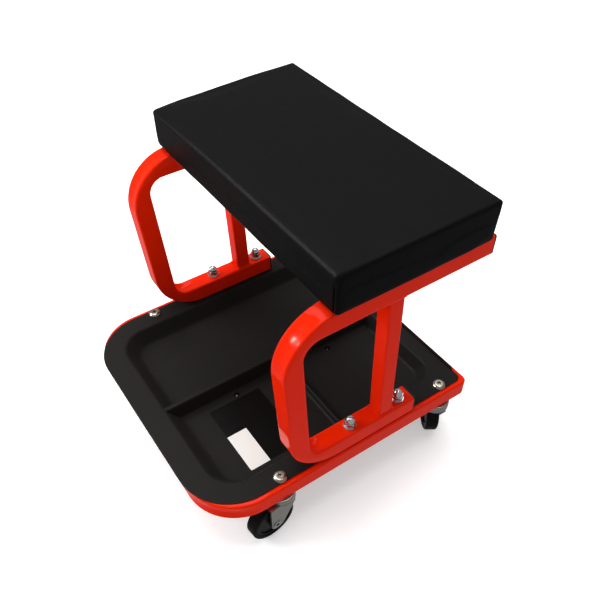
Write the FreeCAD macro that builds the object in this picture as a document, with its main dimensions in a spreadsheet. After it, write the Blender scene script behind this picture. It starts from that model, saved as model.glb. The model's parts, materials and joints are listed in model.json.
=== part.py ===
import FreeCAD, Part
import math
import os
import re

import Sketcher

# Rolling work seat: a bent tube base on four swivel casters carries a pressed tray, two
# C shaped side frames and a padded seat. Millimetres, +Z up, origin on the ground under
# the middle of the base, front towards -Y, right towards +X.

sizes = {
    # Base: one square tube bent round the front, closed by a mitred bar at the rear
    "baseWidth": 360,
    "baseDepth": 384,
    "deckHeight": 75,
    "tube": 25,
    "tubeWall": 1.5,
    "tubeEdge": 2.5,
    "baseBend": 66,
    # Side frames: foot and arm run back from a leaning post, heights above the base underside,
    # and the arm ends a little past the back of the seat
    "sideInset": 1.5,
    "frameHeight": 266,
    "postFootY": -79.5,
    "postTopY": -94.4,
    "footEndY": 97,
    "armPast": 7.5,
    "footBend": 67,
    "armBend": 65,
    "innerBend": 20,
    # Struts, plugs
    "strut": 20,
    "strutFootY": 43.5,
    "strutTopY": 38,
    "plugCap": 2,
    "plugDepth": 12,
    "plugClearance": 0.1,
    # Tray, inset from the base's outside at the sides and rear, and overhanging its front
    "trayWall": 1.5,
    "trayInset": 6,
    "trayOverhang": 4,
    "trayFrontRadius": 70,
    "trayRearRadius": 9,
    "basinDepth": 22.5,
    "basinSideInset": 33.5,
    "basinFrontInset": 32,
    "basinRearInset": 29,
    "basinSideDraft": 11.5,
    "basinFrontDraft": 17,
    "basinRearDraft": 6,
    "basinRadius": 38,
    "basinFootRadius": 24,
    "ribTopHalf": 3,
    "ribFootHalf": 7,
    "ribRise": 22,
    "crossRibY": 19,
    "crossRibTopHalf": 1.5,
    "crossRibFootHalf": 4,
    "crossRibRise": 8,
    "lipHeight": 4.5,
    "lipCornerGap": 18,
    "drainRadius": 2.5,
    "drainCollar": 3.5,
    "drainX": 14,
    "drainFrontY": -64,
    "drainRearY": 85,
    # Seat, standing past the base at each side
    "seatOverhang": 5,
    "seatDepth": 202,
    "seatMidY": 64.5,
    "seatHeight": 51.5,
    "seatCorner": 5.5,
    "seatEdge": 5.5,
    "seatCrown": 1.5,
    "seatPull": 0.8,
    "seatBulge": 1,
    "boardThickness": 10,
    "boardInset": 3,
    "coverThickness": 1,
    "endMargin": 40,
    "sideMargin": 26,
    # Fasteners, clearance holes are wider than the bolts by the same play
    "holePlay": 0.25,
    "threadPlay": 0.05,
    "frameBolt": 8,
    "frameBoltFrontY": 6.8,
    "frameBoltRearY": 79.5,
    "frameHeadFlats": 13,
    "frameHeadHeight": 5.3,
    "washerRadius": 8.25,
    "washerHeight": 1.6,
    "domeNutHex": 6.5,
    "domeRadius": 6,
    "domeHeight": 14,
    "frameBoltTip": 8,
    "casterBolt": 10,
    "casterBoltLength": 40,
    "casterHeadRadius": 8.75,
    "casterHeadHeight": 4.2,
    "casterSocketFlats": 5,
    "casterSocketDepth": 2.6,
    "seatScrew": 6,
    "seatScrewFrontInset": 41.5,
    "seatScrewRearInset": 40.5,
    "seatHeadRadius": 5.5,
    "seatHeadHeight": 3.5,
    "teeFlangeRadius": 9,
    "teeFlangeHeight": 1,
    "teeBarrelRadius": 4,
    "teeBarrelLength": 9,
    "staplePitch": 50,
    "stapleWidth": 10,
    "stapleWire": 1.2,
    "stapleHeight": 0.5,
    "stapleLeg": 7,
    # Casters, inset from the ends of the base, lengths along the trail direction
    "casterFrontInset": 99,
    "casterRearInset": 38.6,
    "frontRightHeading": 276,
    "rearRightHeading": 146,
    "frontLeftHeading": 280,
    "rearLeftHeading": 30,
    "trail": 18,
    "wheelRadius": 31,
    "tyreWidth": 17,
    "tyreDepth": 6,
    "tyreEdge": 3,
    "coreRimWidth": 15,
    "coreRimDepth": 3,
    "coreWeb": 11,
    "hubRadius": 8,
    "hubGap": 0.4,
    "cupRadius": 18,
    "cupHeight": 7.6,
    "cupWall": 2,
    "plateHeight": 2.5,
    "ballRadius": 3,
    "ballRingRadius": 12,
    "ballPlay": 0.1,
    "ballCount": 10,
    "kingpinRadius": 7.5,
    "kingpinHeadRadius": 9.5,
    "kingpinHeadHeight": 2.5,
    "runningPlay": 0.09,
    "forkGap": 23,
    "forkLeg": 2.5,
    "forkNose": 11,
    "forkNoseDrop": 9,
    "forkBoss": 8,
    "axleRadius": 4,
    "axleBore": 2.6,
    "rivetHeadRadius": 5.5,
    "rivetHeadHeight": 1,
    "sleeveRadius": 5.2,
    # Every cut runs past the solid by this much
    "overrun": 3,
}

document = FreeCAD.newDocument("RollingSeat")
sheet = document.addObject("Spreadsheet::Sheet", "Sizes")
for row, (name, value) in enumerate(sizes.items(), 1):
    sheet.set(f"A{row}", name)
    sheet.set(f"B{row}", str(value))
    sheet.setAlias(f"B{row}", name)
document.recompute()

subparts = []


def bound(text):
    # Words that are sizes become references to their cells
    return re.sub(r"[A-Za-z]\w*", lambda word: f"Sizes.{word[0]}" if word[0] in sizes else word[0], text)


def size(text):
    return float(sheet.evalExpression(bound(text)))


# Places and sizes that follow from the sheet, as text for the cells to work out
boltLine = "(baseWidth / 2 - sideInset - tube / 2)"
baseFront = "(trayOverhang - baseDepth / 2)"
casterFront = "(casterFrontInset - baseDepth / 2)"
casterRear = "(baseDepth / 2 - casterRearInset)"
basinSide = "(baseWidth / 2 - basinSideInset)"
basinFront = "(basinFrontInset - baseDepth / 2)"
basinRear = "(baseDepth / 2 - basinRearInset)"
seatSide = "(baseWidth / 2 + seatOverhang)"
seatFront = "(seatMidY - seatDepth / 2)"
seatRear = "(seatMidY + seatDepth / 2)"
armEnd = f"({seatRear} + armPast)"
seatScrewFront = f"({seatFront} + seatScrewFrontInset)"
seatScrewRear = f"({seatRear} - seatScrewRearInset)"
flangeTop = "(tube + trayWall)"
footTop = f"({flangeTop} + tube)"
armUnder = "(frameHeight - tube)"
lean = "((postFootY - postTopY) / frameHeight)"
seatFloor = "(deckHeight + frameHeight)"
boardTop = "(coverThickness + boardThickness)"
basinFloor = "(trayWall - basinDepth)"
frameHole = "(frameBolt / 2 + holePlay)"
casterHole = "(casterBolt / 2 + holePlay)"
seatHole = "(seatScrew / 2 + holePlay)"
plateTop = "(deckHeight - cupWall - 2 * ballRadius - 2 * ballPlay)"
plateUnder = f"({plateTop} - plateHeight)"
kingpinHeadTop = f"({plateUnder} - 2 * ballPlay)"


def postY(height, depth="0"):
    # Where the leaning post's front plane, or one that far behind it, is at a height
    return f"(postFootY - {lean} * ({height}) + ({depth}) * sqrt(1 + {lean} ^ 2))"


# Building blocks


def newBody(label, x="0", y="0", z="0", turn=None, kept=True):
    body = document.addObject("PartDesign::Body", label)
    body.Label = label
    if turn:
        up = FreeCAD.Rotation(FreeCAD.Vector(0, 0, 1), size(turn))
        body.Placement = FreeCAD.Placement(FreeCAD.Vector(), up)
        body.setExpression("Placement.Rotation.Angle", bound(turn))
    for axis, text in zip("xyz", (x, y, z)):
        body.setExpression(f"Placement.Base.{axis}", bound(text))
    if kept:
        subparts.append(body)
    return body


def originItem(body, role):
    return next(item for item in body.Origin.OriginFeatures if item.Role == role)


def newSketch(body, role, shift):
    sketch = body.newObject("Sketcher::SketchObject", "Outline")
    sketch.AttachmentSupport = [(originItem(body, role), "")]
    sketch.MapMode = "FlatFace"
    for axis, text in shift.items():
        sketch.setExpression(f"AttachmentOffset.Base.{axis}", bound(text))
    return sketch


def pin(sketch, geometry, end, x, y):
    # Ties a point of the sketch to its place
    for kind, text in (("DistanceX", x), ("DistanceY", y)):
        index = sketch.addConstraint(Sketcher.Constraint(kind, -1, 1, geometry, end, size(text)))
        sketch.setExpression(f"Constraints[{index}]", bound(text))


def holdRadius(sketch, geometry, text):
    index = sketch.addConstraint(Sketcher.Constraint("Radius", geometry, size(text)))
    sketch.setExpression(f"Constraints[{index}]", bound(text))


def cornerArc(before, corner, after, radius):
    # The arc that rounds a corner, and whether it runs from the earlier side to the later one
    into = (before - corner).normalize()
    out = (after - corner).normalize()
    half = into.getAngle(out) / 2
    centre = corner + (into + out).normalize() * (radius / math.sin(half))
    ends = [corner + side * (radius / math.tan(half)) for side in (into, out)]
    forward = into.cross(out).z < 0
    first, last = ends if forward else reversed(ends)
    start = math.atan2(first.y - centre.y, first.x - centre.x)
    stop = math.atan2(last.y - centre.y, last.x - centre.x)
    while stop < start:
        stop += 2 * math.pi
    circle = Part.Circle(centre, FreeCAD.Vector(0, 0, 1), radius)
    return Part.ArcOfCircle(circle, start, stop), ends, forward


def outline(body, role, corners, **shift):
    # A closed outline through corners (x, y) or (x, y, radius), each tied to the sheet
    sketch = newSketch(body, role, shift)
    points = [FreeCAD.Vector(size(corner[0]), size(corner[1]), 0) for corner in corners]
    count = len(points)
    entries = list(points)
    exits = list(points)
    arcs = {}
    for k, corner in enumerate(corners):
        if len(corner) > 2:
            after = points[(k + 1) % count]
            arc, ends, forward = cornerArc(points[k - 1], points[k], after, size(corner[2]))
            entries[k], exits[k] = ends
            arcs[k] = sketch.addGeometry(arc, False), forward
    lines = []
    for k in range(count):
        side = Part.LineSegment(exits[k], entries[(k + 1) % count])
        lines.append(sketch.addGeometry(side, False))
    for k, corner in enumerate(corners):
        earlier = lines[k - 1]
        later = lines[k]
        if k in arcs:
            arc, forward = arcs[k]
            entry, leave = (1, 2) if forward else (2, 1)
            sketch.addConstraint(Sketcher.Constraint("Tangent", earlier, 2, arc, entry))
            sketch.addConstraint(Sketcher.Constraint("Tangent", arc, leave, later, 1))
            holdRadius(sketch, arc, corner[2])
            mark = sketch.addGeometry(Part.Point(points[k]), True)
            sketch.addConstraint(Sketcher.Constraint("PointOnObject", mark, 1, earlier))
            sketch.addConstraint(Sketcher.Constraint("PointOnObject", mark, 1, later))
            pin(sketch, mark, 1, corner[0], corner[1])
        else:
            sketch.addConstraint(Sketcher.Constraint("Coincident", earlier, 2, later, 1))
            pin(sketch, later, 1, corner[0], corner[1])
    return sketch


def circles(body, role, places, **shift):
    # Circles (x, y, radius), each tied to the sheet
    sketch = newSketch(body, role, shift)
    for x, y, radius in places:
        centre = FreeCAD.Vector(size(x), size(y), 0)
        ring = Part.Circle(centre, FreeCAD.Vector(0, 0, 1), size(radius))
        index = sketch.addGeometry(ring, False)
        holdRadius(sketch, index, radius)
        pin(sketch, index, 3, x, y)
    return sketch


def rectangle(left, low, right, high):
    return [(left, low), (right, low), (right, high), (left, high)]


def feature(body, kind, name, sketch, length, both, back=False):
    made = body.newObject(kind, name)
    made.Profile = sketch
    made.SideType = "Symmetric" if both else "One side"
    made.Reversed = back
    made.setExpression("Length", bound(length))
    return made


def pad(body, sketch, length, both=False, back=False):
    return feature(body, "PartDesign::Pad", "Pad", sketch, length, both, back)


def pocket(body, sketch, length, both=True, back=False):
    document.recompute()
    volume = body.Shape.Volume
    made = feature(body, "PartDesign::Pocket", "Pocket", sketch, length, both, back)
    document.recompute()
    if not body.Shape.Volume < volume:
        raise RuntimeError(f"a pocket of {body.Label} cuts nothing")
    return made


def turned(body, corners, role="XZ_Plane", **shift):
    # A solid of revolution about the upright axis of its outline's plane
    sketch = outline(body, role, corners, **shift)
    made = body.newObject("PartDesign::Revolution", "Turned")
    made.Profile = sketch
    made.ReferenceAxis = (sketch, ["V_Axis"])
    return made


def hexagon(body, flats, height, kind, role="XY_Plane", **shift):
    made = body.newObject(f"PartDesign::{kind}Prism", "Hexagon")
    made.AttachmentSupport = [(originItem(body, role), "")]
    made.MapMode = "FlatFace"
    for axis, text in shift.items():
        made.setExpression(f"AttachmentOffset.Base.{axis}", bound(text))
    made.setExpression("Circumradius", bound(f"{flats} / 2 / cos(30)"))
    made.setExpression("Height", bound(height))
    return made


def rounded(body, radius, wanted):
    # Fillets the edges of the body's last feature that pass the test
    document.recompute()
    last = body.Tip
    names = [f"Edge{k}" for k, edge in enumerate(last.Shape.Edges, 1) if wanted(edge)]
    fillet = body.newObject("PartDesign::Fillet", "Rounded")
    fillet.Base = (last, names)
    fillet.setExpression("Radius", bound(radius))
    return fillet


def longEdge(axis):
    # Picks a tube's long edges: flat along one axis, and not the short ones across an end
    def wanted(edge):
        flat = getattr(edge.BoundBox, f"{axis}Length") < size("threadPlay")
        straight = isinstance(edge.Curve, Part.Line)
        return flat and not (straight and edge.Length < size("1.5 * tube"))
    return wanted


def group(label, master, places):
    # Copies of one fastener, each at its own place
    copies = []
    for place in places:
        copy = document.addObject("App::Link", f"{label}_copy")
        copy.LinkedObject = master
        for axis, text in zip("xyz", place):
            copy.setExpression(f"Placement.Base.{axis}", bound(text))
        copies.append(copy)
    made = document.addObject("Part::Compound", label)
    made.Label = label
    made.Links = copies
    subparts.append(made)
    return made


def fourPlaces(x, front, rear, z):
    return [(f"{side} * {x}", y, z) for side in (-1, 1) for y in (front, rear)]


# Base frame


def makeBaseFrame():
    half = "baseWidth / 2"
    rear = "baseDepth / 2"
    body = newBody("base_frame", z="deckHeight")
    pad(body, outline(body, "XY_Plane", [
        (f"-{half}", rear),
        (f"-{half}", baseFront, "baseBend"),
        (half, baseFront, "baseBend"),
        (half, rear),
        (f"{half} - tube", f"{rear} - tube"),
        (f"{half} - tube", f"{baseFront} + tube", "baseBend - tube"),
        (f"tube - {half}", f"{baseFront} + tube", "baseBend - tube"),
        (f"tube - {half}", f"{rear} - tube"),
    ]), "tube")
    rounded(body, "tubeEdge", longEdge("Z"))
    outer = f"({half} - tubeWall)"
    inner = f"({half} - tube + tubeWall)"
    far = f"({rear} - tubeWall + overrun)"
    near = f"({rear} - tube + tubeWall + overrun)"
    pocket(body, outline(body, "XY_Plane", [
        (f"-{outer}", far),
        (f"-{outer}", f"{baseFront} + tubeWall", "baseBend - tubeWall"),
        (outer, f"{baseFront} + tubeWall", "baseBend - tubeWall"),
        (outer, far),
        (inner, near),
        (inner, f"{baseFront} + tube - tubeWall", "baseBend - tube + tubeWall"),
        (f"-{inner}", f"{baseFront} + tube - tubeWall", "baseBend - tube + tubeWall"),
        (f"-{inner}", near),
    ], z="tube / 2"), "tube - 2 * tubeWall")
    holes = [(x, y, frameHole) for x, y, z in fourPlaces(boltLine, "frameBoltFrontY", "frameBoltRearY", "0")]
    holes += [(x, y, casterHole) for x, y, z in fourPlaces(boltLine, casterFront, casterRear, "0")]
    pocket(body, circles(body, "XY_Plane", holes, z="tube / 2"), "tube + 2 * overrun")


def makeRearBar():
    half = "baseWidth / 2"
    body = newBody("rear_bar", y="baseDepth / 2", z="deckHeight")
    pad(body, outline(body, "XY_Plane", [
        (f"-{half}", "0"),
        (f"tube - {half}", "-tube"),
        (f"{half} - tube", "-tube"),
        (half, "0"),
    ]), "tube")
    rounded(body, "tubeEdge", longEdge("Z"))
    outer = f"({half} - tubeWall + overrun)"
    inner = f"({half} - tube + tubeWall + overrun)"
    pocket(body, outline(body, "XY_Plane", [
        (f"-{outer}", "-tubeWall"),
        (f"-{inner}", "tubeWall - tube"),
        (inner, "tubeWall - tube"),
        (outer, "-tubeWall"),
    ], z="tube / 2"), "tube - 2 * tubeWall")


# Side frames and struts


def sideOutline(body, wall, reach):
    # The bent tube seen from its side, or its bore where a wall is given
    low = f"({flangeTop} + {wall})"
    footHigh = f"({footTop} - {wall})"
    armLow = f"({armUnder} + {wall})"
    high = f"(frameHeight - {wall})"
    rear = f"(tube - {wall})"
    return outline(body, "YZ_Plane", [
        (f"footEndY + {reach}", low),
        (postY(low, wall), low, f"footBend - {wall}"),
        (postY(high, wall), high, f"armBend - {wall}"),
        (f"{armEnd} + {reach}", high),
        (f"{armEnd} + {reach}", armLow),
        (postY(armLow, rear), armLow, f"innerBend + {wall}"),
        (postY(footHigh, rear), footHigh, f"innerBend + {wall}"),
        (f"footEndY + {reach}", footHigh),
    ])


def makeSideFrame(name, side):
    body = newBody(f"{name}_side_frame", x=f"{side} * {boltLine}", z="deckHeight")
    pad(body, sideOutline(body, "0", "0"), "tube", both=True)
    rounded(body, "tubeEdge", longEdge("X"))
    pocket(body, sideOutline(body, "tubeWall", "overrun"), "tube - 2 * tubeWall")
    feet = [("0", y, frameHole) for y in ("frameBoltFrontY", "frameBoltRearY")]
    pocket(body, circles(body, "XY_Plane", feet, z=f"{flangeTop} + tube / 2"), "tube + overrun")
    arms = [("0", y, seatHole) for y in (seatScrewFront, seatScrewRear)]
    pocket(body, circles(body, "XY_Plane", arms, z="frameHeight - tube / 2"), "tube + overrun")


def strutOutline(body, wall, reach):
    # A strut seen from its side, or its bore where a wall is given
    slope = f"((strutFootY - strutTopY) / ({armUnder} - {footTop}))"
    low = f"({footTop} - {reach})"
    high = f"({armUnder} + {reach})"
    front = f"strutFootY + {wall} + {slope} * {reach}"
    top = f"strutTopY + {wall} - {slope} * {reach}"
    across = f"strut - 2 * {wall}"
    return outline(body, "YZ_Plane", [
        (front, low),
        (f"{front} + {across}", low),
        (f"{top} + {across}", high),
        (top, high),
    ])


def makeStrut(name, side):
    body = newBody(f"{name}_strut", x=f"{side} * {boltLine}", z="deckHeight")
    pad(body, strutOutline(body, "0", "0"), "strut", both=True)
    rounded(body, "tubeEdge", lambda edge: edge.BoundBox.ZLength > size("strut * 2"))
    pocket(body, strutOutline(body, "tubeWall", "overrun"), "strut - 2 * tubeWall")


def makeEndPlugs():
    master = newBody("end_plug", kept=False)
    half = "tube / 2"
    inside = "(tube / 2 - tubeWall - plugClearance)"
    cap = [(x, z, "tubeEdge") for x, z in rectangle(f"-{half}", f"-{half}", half, half)]
    stem = rectangle(f"-{inside}", f"-{inside}", inside, inside)
    pad(master, outline(master, "XZ_Plane", cap), "plugCap", back=True)
    pad(master, outline(master, "XZ_Plane", stem), "plugDepth")
    places = []
    for side in (-1, 1):
        x = f"{side} * {boltLine}"
        places.append((x, "footEndY", f"deckHeight + {flangeTop} + tube / 2"))
        places.append((x, armEnd, "deckHeight + frameHeight - tube / 2"))
    group("end_plugs", master, places)


# Tray


def trayRing(grow, front, rear, side, frontRadius, rearRadius):
    # A rounded rectangle, wider by the same amount all round
    return [
        (f"-({side} + {grow})", f"{front} - {grow}", f"{frontRadius} + {grow}"),
        (f"{side} + {grow}", f"{front} - {grow}", f"{frontRadius} + {grow}"),
        (f"{side} + {grow}", f"{rear} + {grow}", f"{rearRadius} + {grow}"),
        (f"-({side} + {grow})", f"{rear} + {grow}", f"{rearRadius} + {grow}"),
    ]


def basin(body, kind, grow, floor):
    # The sunk part of the tray, tapering to its floor
    mouth = trayRing(grow, basinFront, basinRear, basinSide, "basinRadius", "basinFootRadius")
    foot = trayRing(
        grow,
        f"({basinFront} + basinFrontDraft)",
        f"({basinRear} - basinRearDraft)",
        f"({basinSide} - basinSideDraft)",
        "basinFootRadius",
        "basinFootRadius",
    )
    loft = body.newObject(f"PartDesign::{kind}Loft", "Basin")
    loft.Profile = outline(body, "XY_Plane", mouth, z="trayWall")
    loft.Sections = [outline(body, "XY_Plane", foot, z=floor)]
    return loft


def ribSection(top, foot, rise, wall, low):
    # Half of the trapezoid's wall is taken off each side where a wall is given
    high = f"({basinFloor} + {rise} - {wall})"
    return [
        (f"-({foot} - {wall})", low),
        (f"{foot} - {wall}", low),
        (f"{top} - {wall} / 2", high),
        (f"-({top} - {wall} / 2)", high),
    ]


def makeTray():
    body = newBody("tool_tray", z="deckHeight + tube")
    edge = "(baseWidth / 2 - trayInset)"
    end = "(baseDepth / 2 - trayInset)"
    flange = trayRing("0", "-baseDepth / 2", end, edge, "trayFrontRadius", "trayRearRadius")
    pad(body, outline(body, "XY_Plane", flange), "trayWall")
    basin(body, "Additive", "trayWall", f"{basinFloor} - trayWall")
    basin(body, "Subtractive", "0", basinFloor)
    # Each rib has a thin core that dies into the sloping walls, and flanks that spread to the floor
    half = f"({basinSide} - basinSideDraft)"
    front = f"({basinFront} + basinFrontDraft)"
    rear = f"({basinRear} - basinRearDraft)"
    rise = "ribRise / basinDepth"
    pad(body, outline(body, "YZ_Plane", [
        (f"{front} - trayWall / 2", basinFloor),
        (f"{rear} + trayWall / 2", basinFloor),
        (f"{rear} + basinRearDraft * {rise} + trayWall / 2", f"{basinFloor} + ribRise"),
        (f"{front} - basinFrontDraft * {rise} - trayWall / 2", f"{basinFloor} + ribRise"),
    ]), "2 * ribTopHalf", both=True)
    middle = f"({front} + {rear}) / 2"
    long = f"({rear} - {front})"
    pad(body, outline(
        body, "XZ_Plane", ribSection("ribTopHalf", "ribFootHalf", "ribRise", "0", basinFloor), z=f"-({middle})",
    ), long, both=True)
    rise = "crossRibRise / basinDepth"
    pad(body, outline(body, "XZ_Plane", [
        ("0", basinFloor),
        (f"{half} + trayWall / 2", basinFloor),
        (f"{half} + basinSideDraft * {rise} + trayWall / 2", f"{basinFloor} + crossRibRise"),
        ("0", f"{basinFloor} + crossRibRise"),
    ], z="-crossRibY"), "2 * crossRibTopHalf", both=True)
    pad(body, outline(
        body, "YZ_Plane",
        [(f"crossRibY + {y}", z) for y, z in
         ribSection("crossRibTopHalf", "crossRibFootHalf", "crossRibRise", "0", basinFloor)],
        z="ribTopHalf",
    ), f"{half} - ribTopHalf")
    under = f"{basinFloor} - trayWall - overrun"
    pocket(body, outline(
        body, "XZ_Plane", ribSection("ribTopHalf", "ribFootHalf", "ribRise", "trayWall", under), z=f"-({middle})",
    ), f"{long} - 2 * trayWall", both=True)
    lip = rectangle(f"lipCornerGap - {edge}", f"{end} - trayWall", f"{edge} - lipCornerGap", end)
    pad(body, outline(body, "XY_Plane", lip, z="trayWall"), "lipHeight")
    holes = [(x, y, frameHole) for x, y, z in fourPlaces(boltLine, "frameBoltFrontY", "frameBoltRearY", "0")]
    holes += [(x, y, casterHole) for x, y, z in fourPlaces(boltLine, casterFront, casterRear, "0")]
    holes += [("drainX", y, "drainRadius") for y in ("drainFrontY", "drainRearY")]
    collars = [("drainX", y, "drainRadius + trayWall") for y in ("drainFrontY", "drainRearY")]
    pad(body, circles(
        body, "XY_Plane", collars, z=f"{basinFloor} - trayWall - drainCollar",
    ), "drainCollar + trayWall / 2")
    pocket(body, circles(body, "XY_Plane", holes), "2 * basinDepth + 2 * overrun")


# Seat


def cushionWire(level, halfX, halfY):
    # One level of the cushion: corners are arcs, and the sides between them pull in
    height, inset, pull = level
    x = halfX - inset
    y = halfY - inset
    radius = size("seatCorner")
    slant = radius * (1 - math.sqrt(0.5))
    corners = [(x, -y, 1, -1), (x, y, 1, 1), (-x, y, -1, 1), (-x, -y, -1, -1)]
    edges = []
    for k, (cornerX, cornerY, signX, signY) in enumerate(corners):
        alongY = FreeCAD.Vector(cornerX, cornerY - signY * radius, height)
        alongX = FreeCAD.Vector(cornerX - signX * radius, cornerY, height)
        middle = FreeCAD.Vector(cornerX - signX * slant, cornerY - signY * slant, height)
        first, last = (alongX, alongY) if k % 2 == 0 else (alongY, alongX)
        edges.append(Part.Arc(first, middle, last).toShape())
        nextX, nextY, nextSignX, nextSignY = corners[(k + 1) % 4]
        if k % 2 == 0:
            goal = FreeCAD.Vector(nextX, nextY - nextSignY * radius, height)
            halfway = FreeCAD.Vector(cornerX - signX * pull, 0, height)
        else:
            goal = FreeCAD.Vector(nextX - nextSignX * radius, nextY, height)
            halfway = FreeCAD.Vector(0, cornerY - signY * pull, height)
        edges.append(Part.Arc(last, halfway, goal).toShape() if pull else Part.makeLine(last, goal))
    return Part.Wire(edges)


def cushionForm(cover, bottom):
    # The form under the cover, or with the cover's thickness put on, from its bottom up
    halfX = size(f"{seatSide} - coverThickness") + cover
    halfY = size("seatDepth / 2 - coverThickness") + cover
    pull = size("seatPull")
    bulge = size("seatBulge")
    edge = size("seatEdge")
    crown = size("seatCrown")
    board = size("boardInset")
    top = size("seatHeight - coverThickness") + cover
    shoulder = top - crown - edge
    floor = size(boardTop)
    rise = shoulder - floor
    levels = [(bottom, board, 0)] if bottom < floor else []
    levels.append((floor, board, 0))
    sideShares = ((0.15, 0.7, 0.3), (0.5, 0, 0.8))
    for heightShare, insetShare, pullShare in sideShares:
        levels.append((floor + rise * heightShare, bulge * insetShare, pull * pullShare))
    edgeSteps = 4
    for step in range(edgeSteps + 1):
        angle = math.radians(90) * step / edgeSteps
        inset = bulge + edge * (1 - math.cos(angle))
        levels.append((shoulder + edge * math.sin(angle), inset, pull))
    crownShares = (0.15, 0.35, 0.6)
    span = halfY - size("seatCorner") - bulge - edge
    for share in crownShares:
        lift = crown * (1 - (1 - share / crownShares[-1]) ** 2)
        levels.append((shoulder + edge + lift, bulge + edge + span * share, pull * (1 - share)))
    wires = [cushionWire(level, halfX, halfY) for level in levels]
    return Part.makeLoft(wires, True, True)


def seatPlaces(z):
    return [(x, f"{y} - seatMidY", z) for x, y, z in fourPlaces(boltLine, seatScrewFront, seatScrewRear, z)]


def addShape(label, shape):
    # A sub-part whose shape is worked out here, set on top of the arms
    made = document.addObject("Part::Feature", label)
    made.Label = label
    made.Shape = shape
    made.Placement = FreeCAD.Placement(FreeCAD.Vector(0, size("seatMidY"), size(seatFloor)), FreeCAD.Rotation())
    subparts.append(made)
    return made


def roundBars(radius, low, high):
    # Upright bars on the seat screws, to cut their holes
    bars = []
    for x, y, z in seatPlaces(low):
        base = FreeCAD.Vector(size(x), size(y), size(z))
        bars.append(Part.makeCylinder(size(radius), size(high) - size(low), base))
    return Part.makeCompound(bars)


def makeSeatBoard():
    body = newBody("seat_board", y="seatMidY", z=f"{seatFloor} + coverThickness")
    x = f"({seatSide} - coverThickness - boardInset)"
    y = "(seatDepth / 2 - coverThickness - boardInset)"
    ring = [(*corner, "seatCorner") for corner in rectangle(f"-{x}", f"-{y}", x, y)]
    pad(body, outline(body, "XY_Plane", ring), "boardThickness")
    holes = [(x, y, "teeBarrelRadius") for x, y, z in seatPlaces("0")]
    pocket(body, circles(body, "XY_Plane", holes, z="boardThickness / 2"), "boardThickness + overrun")


def makeSeatFoam():
    foam = cushionForm(0, size(boardTop))
    recesses = roundBars("teeFlangeRadius", boardTop, f"{boardTop} + teeFlangeHeight")
    addShape("seat_foam", foam.cut(recesses))


def makeSeatCover():
    cover = size("coverThickness")
    shell = cushionForm(cover, 0).cut(cushionForm(0, cover))
    x = size(f"{seatSide} - endMargin")
    y = size("seatDepth / 2 - sideMargin")
    over = size("overrun")
    opening = Part.makeBox(2 * x, 2 * y, cover + over, FreeCAD.Vector(-x, -y, -over))
    holes = roundBars(seatHole, "-overrun", "coverThickness")
    addShape("seat_cover", shell.cut(opening).cut(holes))


def makeStaple(x, y, alongX):
    # A staple pressed up through the turned-in margin into the board
    wide = size("stapleWidth")
    wire = size("stapleWire")
    thick = size("stapleHeight")
    leg = size("stapleLeg")
    pieces = [Part.makeBox(wide, wire, thick, FreeCAD.Vector(-wide / 2, -wire / 2, -thick))]
    for start in (-wide / 2, wide / 2 - thick):
        pieces.append(Part.makeBox(thick, wire, leg, FreeCAD.Vector(start, -wire / 2, 0)))
    staple = pieces[0].fuse(pieces[1:]).removeSplitter()
    if not alongX:
        staple.rotate(FreeCAD.Vector(), FreeCAD.Vector(0, 0, 1), 90)
    staple.translate(FreeCAD.Vector(x, y, 0))
    return staple


def makeStaples():
    sideY = size("seatDepth / 2 - sideMargin + stapleWidth")
    endX = size(f"{boltLine} - tube / 2 - stapleWidth / 2")
    pitch = size("staplePitch")
    staples = []
    reach = int((endX - pitch / 2) / pitch)
    for sign in (-1, 1):
        for k in range(-reach, reach + 1):
            staples.append(makeStaple(k * pitch, sign * sideY, True))
        for k in (-1, 0, 1):
            staples.append(makeStaple(sign * endX, k * pitch, False))
    addShape("cover_staples", Part.makeCompound(staples))


# Fasteners


def makeFrameBolts():
    bolt = newBody("frame_bolt", kept=False)
    grip = f"({footTop} + washerHeight + frameBoltTip)"
    turned(bolt, rectangle("0", "-threadPlay", "frameBolt / 2", grip))
    hexagon(bolt, "frameHeadFlats", "frameHeadHeight", "Additive", z="-frameHeadHeight")
    group("frame_bolts", bolt, fourPlaces(boltLine, "frameBoltFrontY", "frameBoltRearY", "deckHeight"))

    washer = newBody("frame_washer", kept=False)
    turned(washer, rectangle(frameHole, "0", "washerRadius", "washerHeight"))
    seat = f"deckHeight + {footTop}"
    group("frame_washers", washer, fourPlaces(boltLine, "frameBoltFrontY", "frameBoltRearY", seat))

    nut = newBody("dome_nut", kept=False)
    bore = "(frameBolt / 2 + threadPlay)"
    turned(nut, [
        (bore, "0"),
        ("domeRadius", "0"),
        ("domeRadius", "domeHeight", "domeRadius - threadPlay"),
        ("0", "domeHeight"),
        ("0", "frameBoltTip + threadPlay"),
        (bore, "frameBoltTip + threadPlay"),
    ])
    hexagon(nut, "frameHeadFlats", "domeNutHex", "Additive")
    pocket(nut, circles(nut, "XY_Plane", [("0", "0", bore)]), "frameBoltTip + threadPlay", both=False, back=True)
    seat = f"deckHeight + {footTop} + washerHeight"
    group("dome_nuts", nut, fourPlaces(boltLine, "frameBoltFrontY", "frameBoltRearY", seat))


def makeCasterBolts():
    bolt = newBody("caster_bolt", kept=False)
    turned(bolt, [
        ("0", "-casterBoltLength"),
        ("casterBolt / 2", "-casterBoltLength"),
        ("casterBolt / 2", "0"),
        ("casterHeadRadius", "0"),
        ("casterHeadRadius", "casterHeadHeight", "casterHeadHeight - threadPlay"),
        ("0", "casterHeadHeight"),
    ])
    hexagon(bolt, "casterSocketFlats", "casterSocketDepth + overrun", "Subtractive",
            z="casterHeadHeight - casterSocketDepth")
    seat = f"deckHeight + {flangeTop}"
    group("caster_bolts", bolt, fourPlaces(boltLine, casterFront, casterRear, seat))


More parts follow.
